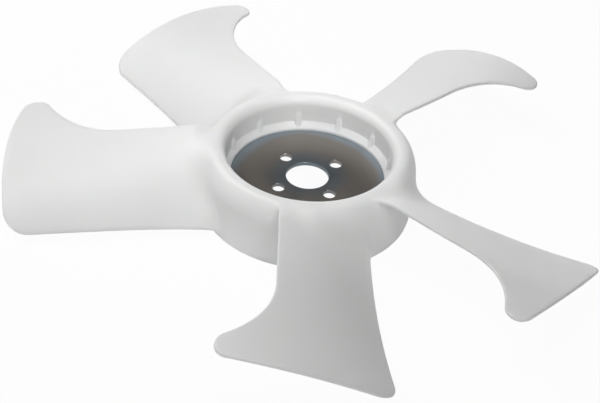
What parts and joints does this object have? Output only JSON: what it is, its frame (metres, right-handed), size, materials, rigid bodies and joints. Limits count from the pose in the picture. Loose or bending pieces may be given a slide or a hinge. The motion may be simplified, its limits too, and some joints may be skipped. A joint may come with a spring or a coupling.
{
  "type": "engine cooling fan",
  "caption": "Axial engine cooling fan with unevenly spaced hooked blades, moulded in natural plastic around a bolted steel hub plate.",
  "frame": {"origin": "centre of the pilot bore on the hub plate's underside, where the plate meets the drive flange", "axes": "+Z along the fan's axis, away from the drive flange; +X and +Y lie between the bolt holes, 45 degrees from them"},
  "size_m": [0.4093, 0.4011, 0.0503],
  "materials": {
    "natural_plastic": "undyed milky plastic, satin, slightly translucent",
    "zinc_steel": "zinc plated sheet steel, smooth, darkened"
  },
  "bodies": {
    "root": {"fan_moulding": "natural_plastic", "hub_plate": "zinc_steel"}
  },
  "joints": []
}
